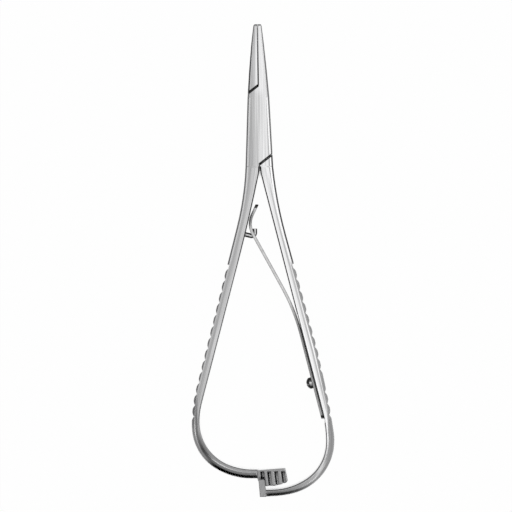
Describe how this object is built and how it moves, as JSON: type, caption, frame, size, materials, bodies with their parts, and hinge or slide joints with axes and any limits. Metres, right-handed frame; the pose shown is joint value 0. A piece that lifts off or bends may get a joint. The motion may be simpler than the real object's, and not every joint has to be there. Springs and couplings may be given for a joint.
{
  "type": "needle holder",
  "caption": "Slim box-lock needle holder with narrow serrated jaws, sprung bow handles, a ratchet at the lower end and a leaf spring that opens the jaws.",
  "frame": {"origin": "the pivot's axis where it meets the plane that the back of the instrument rests on", "axes": "+Y from the pivot to the tip of the jaws, +X to the right seen from the front, +Z out of the front face along the pivot"},
  "size_m": [0.0421, 0.1399, 0.0056],
  "materials": {
    "satin_steel": "satin stainless steel",
    "satin_steel_right": "satin stainless steel",
    "spring_steel": "smooth spring steel",
    "polished_steel": "polished stainless steel"
  },
  "bodies": {
    "fixed_half": {"box_half": "satin_steel", "pivot_pin": "satin_steel", "guide_post": "polished_steel"},
    "moving_half": {"tenon_half": "satin_steel_right", "leaf_spring": "spring_steel", "spring_screw": "polished_steel"}
  },
  "joints": [
    {"name": "pivot", "type": "hinge", "parent": "fixed_half", "child": "moving_half", "pos_m": [0, 0, 0.0028], "axis": [0, 0, 1], "range_deg": [0, 18], "stiffness_Nm_per_rad": 1.2, "springref_deg": 17.99, "deforming": ["leaf_spring"]}
  ]
}
